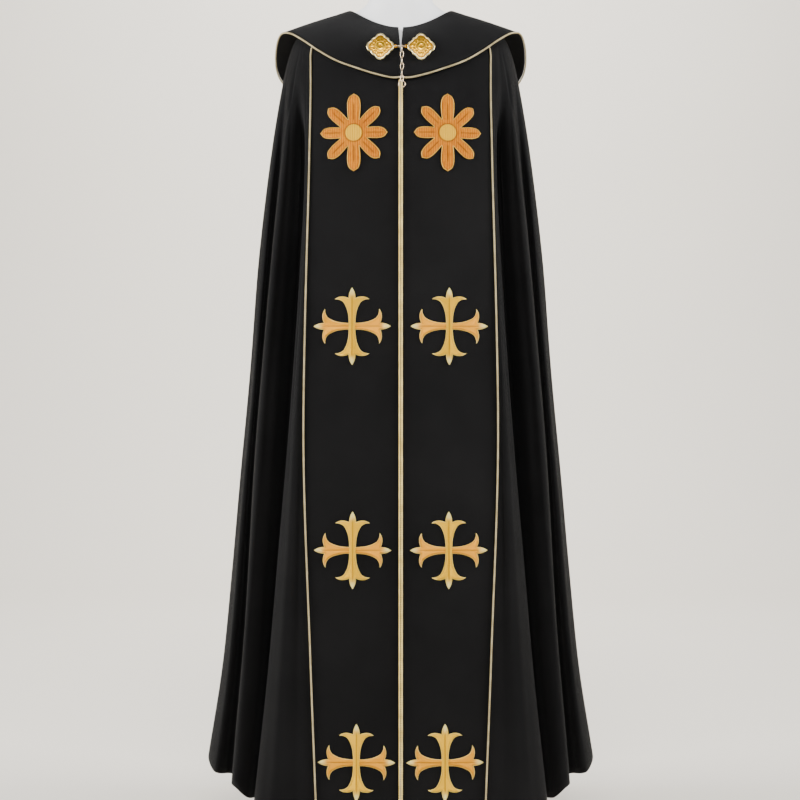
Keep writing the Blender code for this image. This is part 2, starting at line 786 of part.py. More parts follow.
def main():
    clear_scene()
    black = material("black_cloth", (0.012, 0.012, 0.013), 0.75)
    braid = material("gold_braid", (0.62, 0.50, 0.24), 0.45, 0.3)
    stitched = material("gold_embroidery", (0.80, 0.46, 0.05), 0.5, 0.1)
    gold = material("gold_metal", (0.85, 0.60, 0.20), 0.28, 1.0)
    wire = material("chain_metal", (0.72, 0.64, 0.48), 0.3, 1.0)
    white = material("form_cover", (0.80, 0.80, 0.80), 0.6)
    steel = material("stand_steel", (0.55, 0.55, 0.56), 0.4, 0.9)
    build_form(white)
    build_stand(steel)
    columns, normals, seam = build_cloth(black)
    build_braid(columns, normals, seam, braid)
    collar = build_collar(columns, black, braid)
    build_motifs(stitched)
    build_morse(collar, gold, wire)


main()
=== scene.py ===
import math
import bmesh
import bpy
import numpy as np
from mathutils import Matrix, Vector
from mathutils.bvhtree import BVHTree


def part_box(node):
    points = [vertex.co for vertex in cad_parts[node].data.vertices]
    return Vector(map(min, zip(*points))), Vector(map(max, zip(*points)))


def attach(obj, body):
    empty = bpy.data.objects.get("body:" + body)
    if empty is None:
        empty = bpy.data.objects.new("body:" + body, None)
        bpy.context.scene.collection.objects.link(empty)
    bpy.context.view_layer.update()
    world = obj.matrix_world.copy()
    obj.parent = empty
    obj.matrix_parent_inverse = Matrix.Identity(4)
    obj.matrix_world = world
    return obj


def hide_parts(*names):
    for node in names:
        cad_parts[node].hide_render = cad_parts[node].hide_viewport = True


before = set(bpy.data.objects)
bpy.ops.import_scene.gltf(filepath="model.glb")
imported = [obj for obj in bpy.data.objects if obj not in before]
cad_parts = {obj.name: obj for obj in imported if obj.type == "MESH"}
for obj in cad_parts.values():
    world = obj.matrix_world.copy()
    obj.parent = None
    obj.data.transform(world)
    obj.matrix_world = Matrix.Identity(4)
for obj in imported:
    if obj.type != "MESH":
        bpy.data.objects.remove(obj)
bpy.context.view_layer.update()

# A black cope with gold cord, crosses and rosettes, on a dress form.
# Sizes are in metres. Tables named ...Rows hold millimetres and degrees, as the maker measured
# the right half; the left half mirrors it. Right is +X, and the open front faces -Y.

mm = 0.001
stillBody = "cope_and_form"
tailBody = "chain_tail"
sides = (("left", -1), ("right", 1))


# Smooth lines through a few points, on whole arrays of points at once

def curvePoint(before, start, end, after, share):
    def gap(one, two):
        return np.sqrt(np.linalg.norm(two - one, axis=-1, keepdims=True))
    first = gap(before, start)
    second = first + gap(start, end)
    third = second + gap(end, after)
    place = first + (second - first) * share
    low = before + (start - before) * place / first
    middle = start + (end - start) * share
    high = end + (after - end) * (place - second) / (third - second)
    near = low + (middle - low) * place / second
    far = middle + (high - middle) * (place - first) / (third - first)
    return near + (far - near) * share


def smoothLine(points, pieces):
    points = [np.asarray(point, float) for point in points]
    pieces = [pieces] * (len(points) - 1) if isinstance(pieces, int) else pieces
    ends = [points[0] * 2 - points[1]] + points + [points[-1] * 2 - points[-2]]
    line = []
    for index, count in enumerate(pieces):
        for step in range(count):
            line.append(curvePoint(*ends[index:index + 4], step / count))
    line.append(points[-1])
    return np.array(line)


def unit(ways):
    return ways / np.linalg.norm(ways, axis=-1, keepdims=True)


def runOf(steps):
    return np.concatenate(([0.0], np.cumsum(steps)))


def evenLine(line, spacing):
    steps = np.linalg.norm(np.diff(line, axis=0), axis=1)
    length = runOf(steps)
    wanted = np.linspace(0, length[-1], max(2, int(length[-1] / spacing)))
    return np.stack([np.interp(wanted, length, line[:, axis]) for axis in range(3)], axis=1)


def outwardWays(points):
    return unit(np.cross(np.gradient(points, axis=0), np.gradient(points, axis=1)))


def mirrored(points):
    return points[:, ::-1] * (-1, 1, 1)


def softStep(low, high, value):
    share = np.clip((value - low) / (high - low), 0, 1)
    return share * share * (3 - 2 * share)


# Materials: sums on sockets are written as plain expressions

class Wire:  # one socket of a finish
    def __init__(self, finish, socket):
        self.finish = finish
        self.socket = socket

    def sum(self, operation, first, second=0.0):
        return self.finish.node("ShaderNodeMath", {"operation": operation}, {0: first, 1: second})

    def __add__(self, other):
        return self.sum("ADD", self, other)

    __radd__ = __add__

    def __sub__(self, other):
        return self.sum("SUBTRACT", self, other)

    def __rsub__(self, other):
        return self.sum("SUBTRACT", other, self)

    def __mul__(self, other):
        return self.sum("MULTIPLY", self, other)

    __rmul__ = __mul__

    def wave(self):
        return self.sum("SINE", self)

    def size(self):
        return self.sum("ABSOLUTE", self)

    def clamped(self, low, high):
        inputs = {"Value": self, "From Min": low, "From Max": high}
        return self.finish.node("ShaderNodeMapRange", {"interpolation_type": "SMOOTHSTEP"}, inputs)


class Finish:  # one material
    def __init__(self, name, roughness, metallic=0.0, sheen=0.0, coat=0.0, specular=0.5):
        self.material = bpy.data.materials.new(name)
        self.material.use_nodes = True
        self.tree = self.material.node_tree
        self.shader = self.tree.nodes["Principled BSDF"]
        self.set("Roughness", roughness)
        self.set("Metallic", metallic)
        self.set("Sheen Weight", sheen)
        self.set("Coat Weight", coat)
        self.set("Specular IOR Level", specular)
        self.places = self.node("ShaderNodeTexCoord", {}, {}, "Object")

    def set(self, name, value):
        socket = self.shader.inputs[name]
        if isinstance(value, Wire):
            self.tree.links.new(value.socket, socket)
        else:
            socket.default_value = value

    def node(self, kind, settings, inputs, output=0):
        made = self.tree.nodes.new(kind)
        for name, value in settings.items():
            setattr(made, name, value)
        for name, value in inputs.items():
            if isinstance(value, Wire):
                self.tree.links.new(value.socket, made.inputs[name])
            else:
                made.inputs[name].default_value = value
        return Wire(self, made.outputs[output])

    def mix(self, factor, first, second):
        # on the mix node the two colours go in at sockets 6 and 7 and come out at 2
        inputs = {"Factor": factor, 6: (*first, 1) if isinstance(first, tuple) else first,
                  7: (*second, 1) if isinstance(second, tuple) else second}
        return self.node("ShaderNodeMix", {"data_type": "RGBA"}, inputs, 2)

    def noise(self, scale, detail=3.0, vector=None):
        inputs = {"Vector": vector or self.places, "Scale": scale, "Detail": detail}
        return self.node("ShaderNodeTexNoise", {}, inputs)

    def stretched(self, scales):
        return self.node("ShaderNodeMapping", {}, {"Vector": self.places, "Scale": scales})

    def flatPlace(self):
        flat = self.node("ShaderNodeUVMap", {"uv_map": "flat"}, {})
        across = self.node("ShaderNodeSeparateXYZ", {}, {0: flat})
        return flat, across, Wire(self, across.socket.node.outputs[1])

    def value(self, name):
        return self.node("ShaderNodeAttribute", {"attribute_name": name}, {}, "Fac")

    def done(self, colour, roughness, relief, depth, strength=1.0):
        self.set("Base Color", colour)
        self.set("Roughness", roughness)
        inputs = {"Height": relief, "Distance": depth, "Strength": strength}
        self.set("Normal", self.node("ShaderNodeBump", {}, inputs))
        return self.material


blackCloth = {
    "dark": (0.002, 0.002, 0.0023),
    "light": (0.0058, 0.0056, 0.006),
    "threadPitch": 0.0011,
    "twillDepth": 0.00022,
    "sheenRoughness": 0.35,
}


def makeBlackCloth(name, tone=1.0):
    finish = Finish(name, roughness=0.8, sheen=0.04, specular=0.08)
    finish.set("Sheen Roughness", blackCloth["sheenRoughness"])
    flat, across, along = finish.flatPlace()
    turn = 2 * math.pi / blackCloth["threadPitch"]
    twill = ((across + along) * turn).wave()
    weft = ((across - along * 2) * turn).wave()
    patches = finish.noise(scale=5.0, detail=4.0)
    fibres = finish.noise(scale=900.0, detail=2.0, vector=flat)
    shade = patches * 0.7 + fibres * 0.25 + twill * 0.05
    # tone scales both colours of the cloth; the collar's copy is made lighter with it as painted light
    dark = tuple(part * tone for part in blackCloth["dark"])
    light = tuple(part * tone for part in blackCloth["light"])
    return finish.done(finish.mix(shade.clamped(low=0.25, high=0.75), dark, light),
                       0.56 + finish.noise(scale=18.0) * 0.16,
                       twill * 0.6 + weft * 0.25 + fibres * 0.5, blackCloth["twillDepth"])


def makeCord(name, pale, deep):
    finish = Finish(name, roughness=0.42, metallic=0.3, specular=0.2)
    lengths = finish.noise(scale=1600.0, detail=2.0)
    patches = finish.noise(scale=60.0)
    worn = (lengths * 0.6 + patches * 0.5).clamped(low=0.3, high=0.8)
    return finish.done(finish.mix(worn, deep, pale), 0.34 + lengths * 0.2, lengths, depth=0.00012)


crossThread = {
    "pale": (0.96, 0.82, 0.3),
    "gold": (0.84, 0.46, 0.001),
    # a deeper orange copy of the gold thread, painted on the side arms as painted shade
    "sideArmShade": (0.76, 0.29, 0.001),
    # the gold thread darkened for the centre crease of each arm: painted shade
    "creaseAndShade": (0.28, 0.09, 0.001),
    "shadow": (0.3, 0.15, 0.02),
    "threadPitch": 0.00075,
    "threadDepth": 0.00022,
}


def makeCrossThread():
    finish = Finish("crossSatinStitch", roughness=0.38, metallic=0.3, specular=0.15)
    across, along = finish.flatPlace()[1:]
    turn = 2 * math.pi / crossThread["threadPitch"]
    threads = ((along + across.size() * 0.55) * turn).wave()
    uneven = finish.noise(scale=170.0)
    # the side arms are mixed towards the deeper orange: painted shade on the same gold thread
    ground = finish.mix(finish.value("sideArm") * 0.85, crossThread["gold"], crossThread["sideArmShade"])
    # the centre crease of each arm is darkened: painted shade
    creaseAndShade = finish.value("creaseAndShade")
    body = finish.mix(creaseAndShade * 0.75, ground, crossThread["creaseAndShade"])
    edge = (finish.value("edge") + (uneven - 0.5) * 0.35).clamped(low=0.0, high=1.0)
    body = finish.mix(edge, body, crossThread["pale"])
    shade = (threads * 0.5 + 0.5) * 0.22
    return finish.done(finish.mix(shade, body, crossThread["shadow"]),
                       0.3 + uneven * 0.2, threads * 0.7 + uneven * 0.4, crossThread["threadDepth"])


ornamentThread = {
    # the petals go from bright to deep with painted shade between the stitch rows and with uneven tone
    "bright": (0.64, 0.22, 0.001),
    "deep": (0.43, 0.11, 0.001),
    "disc": (0.7, 0.38, 0.01),
    # the thread darkened along the veins between petals and round the disc: painted shade
    "veinAndShade": (0.2, 0.05, 0.001),
    "rowPitch": 0.0042,
    "threadPitch": 0.0008,
    "threadDepth": 0.00035,
}


def makeOrnamentThread():
    finish = Finish("ornamentSatinStitch", roughness=0.4, metallic=0.3, specular=0.15)
    across, along = finish.flatPlace()[1:]
    rows = (across * (2 * math.pi / ornamentThread["rowPitch"])).wave()
    threads = (along * (2 * math.pi / ornamentThread["threadPitch"])).wave()
    uneven = finish.noise(scale=140.0)
    broad = finish.noise(scale=22.0, detail=2.0)
    # darker between the stitch rows: painted shade; the two noises add uneven tone
    shade = (rows * 0.22 + uneven * 0.7 + broad * 0.5).clamped(low=0.25, high=0.95)
    petals = finish.mix(shade, ornamentThread["deep"], ornamentThread["bright"])
    petals = finish.mix(finish.value("disc"), petals, ornamentThread["disc"])
    # the veins are darkened: painted shade
    return finish.done(finish.mix(finish.value("veinAndShade"), petals, ornamentThread["veinAndShade"]),
                       0.32 + uneven * 0.2,
                       rows * 0.8 + threads * 0.25 + uneven * 0.3, ornamentThread["threadDepth"])


castGold = {
    # deep in the hollows and bright on the raised relief: painted shade and painted highlight
    "deep": (0.58, 0.26, 0.01),
    "bright": (1.0, 0.6, 0.05),
    # the pale rim on the clasp's outer edge: painted highlight
    "rim": (1.0, 0.84, 0.42),
    "grainDepth": 0.00018,
    "grainStrength": 0.8,
}


def makeClaspMetal():
    finish = Finish("castGold", roughness=0.3, metallic=1.0)
    height = finish.value("height")
    grain = finish.noise(scale=420.0, detail=4.0)
    # the relief height darkens the hollows and brightens the raised parts: painted shade and painted
    # highlight, with grain as uneven tone
    raised = (height + (grain - 0.5) * 0.3).clamped(low=0.15, high=0.85)
    colour = finish.mix(raised, castGold["deep"], castGold["bright"])
    # the outer rim is mixed to pale gold: painted highlight
    return finish.done(finish.mix(finish.value("rim"), colour, castGold["rim"]),
                       0.42 - raised * 0.16 + grain * 0.08,
                       grain, castGold["grainDepth"], castGold["grainStrength"])


chainWire = {"dark": (0.52, 0.38, 0.24), "light": (0.78, 0.64, 0.46), "grainDepth": 0.00005}


def makeWireMetal():
    finish = Finish("chainWire", roughness=0.28, metallic=1.0)
    grain = finish.noise(scale=900.0)
    return finish.done(finish.mix(grain, chainWire["dark"], chainWire["light"]),
                       0.2 + grain * 0.2, grain, chainWire["grainDepth"])


formCover = {"dull": (0.9, 0.905, 0.91), "clear": (0.96, 0.96, 0.955), "grainDepth": 0.0001}


def makeFormCover():
    finish = Finish("whiteFormCover", roughness=0.55, coat=0.05)
    grain = finish.noise(scale=700.0)
    patches = finish.noise(scale=4.0)
    return finish.done(finish.mix(patches, formCover["dull"], formCover["clear"]),
                       0.48 + grain * 0.14, grain * 0.7 + patches * 0.3, formCover["grainDepth"])


standSteel = {
    "dark": (0.4, 0.4, 0.41),
    "light": (0.66, 0.66, 0.66),
    "brushing": (900.0, 900.0, 30.0),
    "brushDepth": 0.00006,
}


def makeStandSteel():
    finish = Finish("brushedStandSteel", roughness=0.35, metallic=1.0)
    brushed = finish.noise(scale=1.0, detail=4.0, vector=finish.stretched(standSteel["brushing"]))
    patches = finish.noise(scale=9.0)
    shade = brushed * 0.5 + patches * 0.4
    return finish.done(finish.mix(shade, standSteel["dark"], standSteel["light"]),
                       0.26 + brushed * 0.22, brushed, standSteel["brushDepth"])


clothFinish = makeBlackCloth("blackTwill")
# the collar gets a copy of the same black twill, 12% lighter: painted light
collarFinish = makeBlackCloth("blackTwillCollarPaintedLight", tone=1.12)
paleCord = makeCord("paleGoldCord", pale=(0.56, 0.48, 0.29), deep=(0.26, 0.2, 0.09))
goldCord = makeCord("goldCord", pale=(0.98, 0.8, 0.34), deep=(0.56, 0.38, 0.09))
edgingCord = makeCord("rosetteEdging", pale=(0.7, 0.43, 0.08), deep=(0.4, 0.19, 0.02))
crossFinish = makeCrossThread()
ornamentFinish = makeOrnamentThread()
claspFinish = makeClaspMetal()
wireFinish = makeWireMetal()
formFinish = makeFormCover()
steelFinish = makeStandSteel()
print("finishes made")


# What every piece goes through

def placed(name, data):
    made = bpy.data.objects.new(name, data)
    bpy.context.scene.collection.objects.link(made)
    return made


def addPiece(name, data, finish, body, nodes=()):
    piece = placed(name, data)
    data.materials.append(finish)
    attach(piece, body)
    if nodes:
        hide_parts(*nodes)
    return piece


def meshFrom(name, shape):
    mesh = bpy.data.meshes.new(name)
    shape.to_mesh(mesh)
    shape.free()
    mesh.shade_smooth()
    return mesh


def spunShape(profile, axis, sides, gap):
    shape = bmesh.new()
    points = [shape.verts.new(point) for point in profile]
    edges = [shape.edges.new(pair) for pair in zip(points, points[1:])]
    bmesh.ops.spin(shape, geom=points + edges, cent=(0, 0, 0), axis=axis, dvec=(0, 0, 0),
                   angle=2 * math.pi, steps=sides, use_merge=True)
    bmesh.ops.remove_doubles(shape, verts=shape.verts, dist=gap)
    bmesh.ops.recalc_face_normals(shape, faces=shape.faces)
    return shape


def wireCurve(name, wire, smoothness, lines, closed):
    curve = bpy.data.curves.new(name, "CURVE")
    curve.dimensions = "3D"
    curve.bevel_depth = wire
    curve.bevel_resolution = smoothness
    curve.use_fill_caps = not closed
    for points in lines:
        spline = curve.splines.new("POLY")
        spline.points.add(len(points) - 1)
        spline.use_cyclic_u = closed
        spline.points.foreach_set("co", np.column_stack([points, np.ones(len(points))]).ravel())
    return curve


def setFlatMap(mesh, places):
    corners = np.zeros(len(mesh.loops), np.int32)
    mesh.loops.foreach_get("vertex_index", corners)
    layer = mesh.uv_layers.new(name="flat")
    layer.data.foreach_set("uv", np.asarray(places, np.float32)[corners].ravel())


def setValue(mesh, name, values):
    layer = mesh.attributes.new(name, "FLOAT", "POINT")
    layer.data.foreach_set("value", np.asarray(values, np.float32))


def gridMesh(name, points, flat):
    rows, columns = points.shape[:2]
    shape = bmesh.new()
    bmesh.ops.create_grid(shape, x_segments=columns - 1, y_segments=rows - 1, size=1.0)
    order = []
    for vert in shape.verts:
        column = round((vert.co.x + 1) / 2 * (columns - 1))
        row = round((1 - vert.co.y) / 2 * (rows - 1))
        order.append(row * columns + column)
        vert.co = points[row, column]
    mesh = meshFrom(name, shape)
    setFlatMap(mesh, flat.reshape(-1, 2)[order])
    return mesh


def thicken(piece, thickness):
    wall = piece.modifiers.new("cloth thickness", "SOLIDIFY")
    wall.thickness = thickness
    wall.offset = -1.0


def surfaceTree(points):
    rows, columns = points.shape[:2]
    corner = (np.arange(rows - 1)[:, None] * columns + np.arange(columns - 1)).ravel()
    faces = np.stack([corner, corner + columns, corner + columns + 1, corner + 1], axis=1)
    return BVHTree.FromPolygons(points.reshape(-1, 3).tolist(), faces.tolist())


def frontHit(tree, x, z):
    # where a straight look from the front meets the cloth, and which way the cloth faces there
    hit, way = tree.ray_cast(Vector((x, -1.0, z)), Vector((0, 1, 0)))[:2]
    return hit, (-way if way.y > 0 else way)


# The figure under the cloth, from the neckline down to below the shoulder point

formRows = (  # half width, front, back, side height, front height, back height, seam angle, opening
    (90, 74, 66, 1553, 1509, 1560, 60, 4.4),
    (120, 92, 82, 1543, 1485, 1548, 60, 3.6),
    (150, 106, 98, 1532, 1458, 1530, 60, 1.6),
    (178, 118, 112, 1518, 1432, 1505, 59, 0.5),
    (197, 127, 124, 1500, 1405, 1475, 56, 0.5),
    (208, 133, 133, 1474, 1375, 1440, 52, 0.5),
    (217, 137, 138, 1440, 1340, 1400, 49, 0.5),
)
torsoRows = (  # height, half width, front, back
    (1300, 198, 127, 130),
    (1230, 182, 121, 123),
    (1160, 160, 112, 112),
    (1090, 146, 103, 102),
    (1010, 158, 108, 112),
    (920, 176, 116, 124),
    (840, 174, 114, 122),
    (800, 150, 96, 104),
)
neckRows = (
    (1568, 66, 62, 54),
    (1585, 58, 57, 52),
    (1605, 56, 55, 52),
    (1621, 56, 55, 52),
    (1625, 51, 50, 47),
)


dressForm = {
    "sides": 96,
    "steps": 4,
    "sharpAngle": 50,
    "steepWidth": 185,  # wider rows fall steeply, and a lift there points less upward
    "steepUp": 0.25,
    "shoulderUp": 0.75,
}


def formPoint(row, angle, lift=0.0):
    halfWidth, front, back, sideZ, frontZ, backZ = row[:6]
    turn = np.radians(np.asarray(angle, float))
    sine = np.sin(turn)
    cosine = np.cos(turn)
    depth = np.where(cosine > 0, front, back)
    endZ = np.where(cosine > 0, frontZ, backZ)
    height = sideZ * sine ** 2 + endZ * cosine ** 2
    point = np.stack([halfWidth * sine, -depth * cosine, height], axis=-1) * mm
    upward = dressForm["steepUp" if halfWidth > dressForm["steepWidth"] else "shoulderUp"]
    way = np.stack([sine, -cosine, np.full_like(sine, upward)], axis=-1)
    return point + unit(way) * lift


def makeDressForm():
    turn = np.linspace(0, 360, dressForm["sides"], endpoint=False)
    rings = []
    for z, halfWidth, front, back in torsoRows[::-1] + neckRows:
        rings.append(formPoint((halfWidth, front, back, z, z, z), turn))
    shoulders = [formPoint(row, turn) for row in formRows[::-1]]
    rings[len(torsoRows):len(torsoRows)] = shoulders
    rings = smoothLine(rings, dressForm["steps"])
    shape = bmesh.new()
    bmesh.ops.create_circle(shape, cap_ends=True, segments=len(turn), radius=1.0)
    loop = sorted(shape.verts, key=lambda vert: math.atan2(vert.co.x, -vert.co.y) % (2 * math.pi))
    for index, ring in enumerate(rings):
        if index:
            edges = [edge for edge in shape.edges if edge.verts[0] in loop and edge.verts[1] in loop]
            grown = bmesh.ops.extrude_edge_only(shape, edges=edges)["geom"]
            fresh = {vert for vert in grown if isinstance(vert, bmesh.types.BMVert)}
            loop = [next(edge.other_vert(vert) for edge in vert.link_edges
                         if edge.other_vert(vert) in fresh) for vert in loop]
        for vert, point in zip(loop, ring):
            vert.co = point
    bmesh.ops.contextual_create(shape, geom=loop)
    bmesh.ops.recalc_face_normals(shape, faces=shape.faces)
    mesh = meshFrom("dressForm", shape)
    mesh.set_sharp_from_angle(angle=math.radians(dressForm["sharpAngle"]))
    addPiece("dressForm", mesh, formFinish, stillBody, ["dress_form"])


stand = {
    "sides": 96,
    "mergeGap": 0.00001,
    "cornerAngle": 0.6,
    "sharpAngle": 35,
    "bevelSteps": 3,
    "baseEdge": 0.004,
    "baseBevel": 0.0008,
    "poleBevel": 0.0006,
}


def turnedPiece(name, profile, bevelWidth, node):
    profile = [(radius, 0, height) for radius, height in profile]
    shape = spunShape(profile, (0, 0, 1), stand["sides"], stand["mergeGap"])
    corners = [edge for edge in shape.edges if edge.calc_face_angle(0) > stand["cornerAngle"]]
    bmesh.ops.bevel(shape, geom=corners, offset=bevelWidth, affect="EDGES",
                    segments=stand["bevelSteps"], profile=0.5, material=-1)
    mesh = meshFrom(name, shape)
    mesh.set_sharp_from_angle(angle=math.radians(stand["sharpAngle"]))
    addPiece(name, mesh, steelFinish, stillBody, [node])


def makeStand():
    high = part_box("stand_base")[1]
    radius = high.x
    edge = stand["baseEdge"]
    turnedPiece("standBase", ((0, high.z), (radius - edge, high.z), (radius, high.z - edge),
                              (radius, 0), (0, 0)), stand["baseBevel"], "stand_base")
    low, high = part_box("stand_pole")
    turnedPiece("standPole", ((0, high.z), (high.x, high.z), (high.x, low.z), (0, low.z)),
                stand["poleBevel"], "stand_pole")


makeDressForm()
makeStand()
print("dress form and stand made")


# The cope: two front bands and two halves of the cloak, with the folds where they hang

foldRows = (  # share of the shoulder, then x and y at the chest, the middle and the hem, hem height
    (0.000, 168, -124, 178, -143, 155, -151, 70),
    (0.02, 172, -121, 193, -142, 232, -149, 70),
    (0.045, 177, -106, 206, -122, 269, -124, 72),
    (0.08, 184, -64, 212, -62, 270, -52, 70),
    (0.115, 199, -80, 237, -84, 287, -72, 74),
    (0.15, 218, -85, 261, -87, 310, -76, 96),
    (0.195, 229, -45, 273, -38, 318, -12, 104),
    (0.25, 243, -38, 288, -34, 354, -18, 112),
    (0.305, 250, -2, 295, 12, 367, 36, 142),
    (0.365, 232, 24, 272, 38, 312, 62, 134),
    (0.425, 236, 52, 292, 84, 352, 120, 146),
    (0.49, 212, 68, 250, 98, 290, 130, 132),
    (0.56, 208, 106, 256, 154, 306, 210, 132),
    (0.635, 176, 112, 204, 152, 232, 194, 110),
    (0.72, 158, 148, 190, 206, 220, 268, 108),
    (0.805, 118, 140, 136, 186, 154, 230, 94),
    (0.89, 80, 168, 98, 230, 110, 296, 94),
    (0.96, 32, 154, 40, 204, 44, 258, 86),
    (1.000, 0.15, 160, 0.15, 214, 0.15, 276, 86),
)
cope = {
    "chestHeight": 1250,
    "middleHeight": 750,
    "lowHeight": 330,
    "lowShare": 0.57,
    "bandFronts": (-147, -153, -155, -156),
    "frontEdge": 0.5,
    "bandRoundness": 2.2,
    "bandColumns": 44,
    "columnsPerFold": 14,
    "rowsPerStretch": [3] * 6 + [14, 34, 28, 16],
    "clothLift": 0.0032,
    "thickness": 0.0014,
    "seamGap": 0.0003,
    "seamFade": 0.03,
}
cloakCreases = (  # fold it starts at, fold it ends at, from, to (down the cloth), width, height in mm
    (3.4, 6.1, 0.07, 0.22, 0.24, -1.9),
    (6.3, 6.2, 0.1, 1.3, 0.26, -9.0),
    (5.3, 5.3, 0.16, 1.3, 0.4, 3.5),
    (2.8, 3.0, 0.14, 0.34, 0.4, -6.0),
    (7.7, 7.9, 0.22, 0.9, 0.3, 2.6),
    (0.45, 0.45, 0.55, 1.3, 0.22, -2.8),
    (0.95, 1.2, 0.42, 1.3, 0.28, 2.6),
    (1.5, 1.75, 0.08, 0.62, 0.16, -1.3),
    (2.3, 2.5, 0.42, 0.95, 0.2, 1.2),
    (4.6, 4.4, 0.1, 0.7, 0.22, -1.5),
    (4.9, 5.25, 0.55, 1.1, 0.2, 1.4),
    (6.4, 6.7, 0.06, 0.55, 0.24, 1.8),
    (7.4, 7.2, 0.35, 1.1, 0.3, -2.2),
    (8.6, 8.3, 0.12, 0.75, 0.26, 1.7),
    (9.5, 9.7, 0.4, 1.1, 0.28, 2.4),
    (10.4, 10.6, 0.1, 0.66, 0.22, -1.9),
    (11.6, 11.3, 0.22, 0.9, 0.3, 2.3),
    (12.4, 12.7, 0.45, 1.1, 0.24, -2.4),
    (13.4, 13.6, 0.08, 0.58, 0.26, 1.8),
    (14.5, 14.2, 0.3, 1.1, 0.24, -2.6),
    (15.5, 15.7, 0.14, 0.8, 0.28, 2.2),
    (16.4, 16.2, 0.48, 1.1, 0.22, 2.0),
    (17.3, 17.5, 0.16, 0.72, 0.26, -1.8),
)
bandCreases = (  # across the band from 0 to 1, then as above
    (0.3, 0.24, 0.2, 0.8, 0.07, 0.5),
    (0.62, 0.7, 0.26, 0.95, 0.09, -0.6),
    (0.88, 0.8, 0.42, 1.1, 0.06, 0.5),
    (0.14, 0.2, 0.5, 1.1, 0.06, -0.4),
)


ripple = {
    "sway": 0.04,
    "swayTurns": 7,
    "narrowest": 0.8,
    "widening": 0.35,
    "wideTurns": 3.1,
    "wideShift": 1.7,
    "longestFade": 0.16,
    "fadeShare": 0.4,
    "slowHeight": 0.0006,
    "slowStart": (0.15, 0.4),
    "slowAround": (1.9, 0.8),
    "slowDown": (5.3, 17),
}


def levelSections():
    rows = np.array(foldRows, float)
    chest = np.column_stack([rows[:, 1:3], np.full(len(rows), cope["chestHeight"])])
    middle = np.column_stack([rows[:, 3:5], np.full(len(rows), cope["middleHeight"])])
    hem = rows[:, 5:8]
    low = middle + (hem - middle) * cope["lowShare"]
    low[:, 2] = cope["lowHeight"]
    return [chest * mm, middle * mm, low * mm, hem * mm]


def hang(angles, falls):
    # angles has one row of angles for each row of the form, and falls the four level sections
    line = [formPoint(row, turn, cope["clothLift"]) for row, turn in zip(formRows, angles)]
    return smoothLine(line + list(falls), cope["rowsPerStretch"])


def rise(points, places, creases):
    # places is how far round each column is, in the unit of the creases
    steps = np.linalg.norm(np.diff(points.mean(axis=1), axis=0), axis=1)
    down = (runOf(steps) / steps.sum())[:, None]
    height = np.zeros(points.shape[:2])
    for index, (start, end, top, bottom, width, size) in enumerate(creases):
        share = np.clip((down - top) / (bottom - top), 0, 1)
        sway = ripple["sway"] * np.sin(ripple["swayTurns"] * share + index)
        centre = start + (end - start) * share + sway
        widening = np.sin(ripple["wideTurns"] * share + ripple["wideShift"] * index) ** 2
        spread = width * (ripple["narrowest"] + ripple["widening"] * widening)
        run = min(ripple["longestFade"], (bottom - top) * ripple["fadeShare"])
        fade = softStep(top, top + run, down) * (1 - softStep(bottom - run, bottom, down))
        height += size * mm * fade * np.exp(-((places[None, :] - centre) / spread) ** 2)
    around, fall = ripple["slowAround"], ripple["slowDown"]
    slow = np.sin(places[None, :] * around[0] + down * fall[0])
    slow = slow * np.sin(down * fall[1] + places[None, :] * around[1])
    height += slow * ripple["slowHeight"] * softStep(*ripple["slowStart"], down)
    return points + outwardWays(points) * height[..., None]


def bandPoints():
    share = np.linspace(0, 1, cope["bandColumns"] + 1)
    angles = []
    for row in formRows:
        start = math.degrees(math.asin(row[7] / row[0]))
        angles.append(start + (row[6] - start) * share)
    falls = []
    for section, front in zip(levelSections(), cope["bandFronts"]):
        seam = section[0]
        edge = cope["frontEdge"] * mm
        x = edge + (seam[0] - edge) * share
        y = front * mm + (seam[1] - front * mm) * share ** cope["bandRoundness"]
        falls.append(np.stack([x, y, np.full_like(x, seam[2])], axis=1))
    return hang(angles, falls), share


def cloakPoints():
    levels = [smoothLine(section, cope["columnsPerFold"]) for section in levelSections()]
    shares = smoothLine([(row[0], 0, 0) for row in foldRows], cope["columnsPerFold"])[:, 0]
    angles = [row[6] + (180 - row[6]) * shares for row in formRows]
    places = np.linspace(0, len(foldRows) - 1, len(shares))
    return hang(angles, levels), places


def creased(points, places, creases):
    # the creases die away towards both edges, which meet another piece
    risen = rise(points, places, creases)
    share = np.linspace(0, 1, points.shape[1])
    keep = np.ones_like(share)
    for edge in (0.0, 1.0):
        keep *= softStep(0.0, cope["seamFade"], np.abs(share - edge))
    return points + (risen - points) * keep[None, :, None]


def drawnBack(points, edge, beside):
    kept = points.copy()
    way = points[:, beside] - points[:, edge]
    kept[:, edge] += unit(way) * cope["seamGap"] / 2
    return kept


def flatCut(points):
    # where each point lies on the cut cloth: a fan from the neckline to the hem
    down = np.linalg.norm(np.diff(points, axis=0), axis=2)
    reach = np.vstack([np.zeros(points.shape[1]), np.cumsum(down, axis=0)]).mean(axis=1)
    across = np.linalg.norm(np.diff(points, axis=1), axis=2)
    neckline, hem = across.sum(axis=1)[[0, -1]]
    spread = (hem - neckline) / reach[-1]
    reach = (reach + neckline / spread)[:, None]
    turn = runOf(across[-1]) / hem * spread
    return np.stack([reach * np.sin(turn), -reach * np.cos(turn)], axis=2)


def straightCut(points):
    down = np.linalg.norm(np.diff(points, axis=0), axis=2).mean(axis=1)
    across = np.linalg.norm(np.diff(points, axis=1), axis=2).mean(axis=0)
    return np.stack(np.meshgrid(runOf(across), -runOf(down)), axis=2)


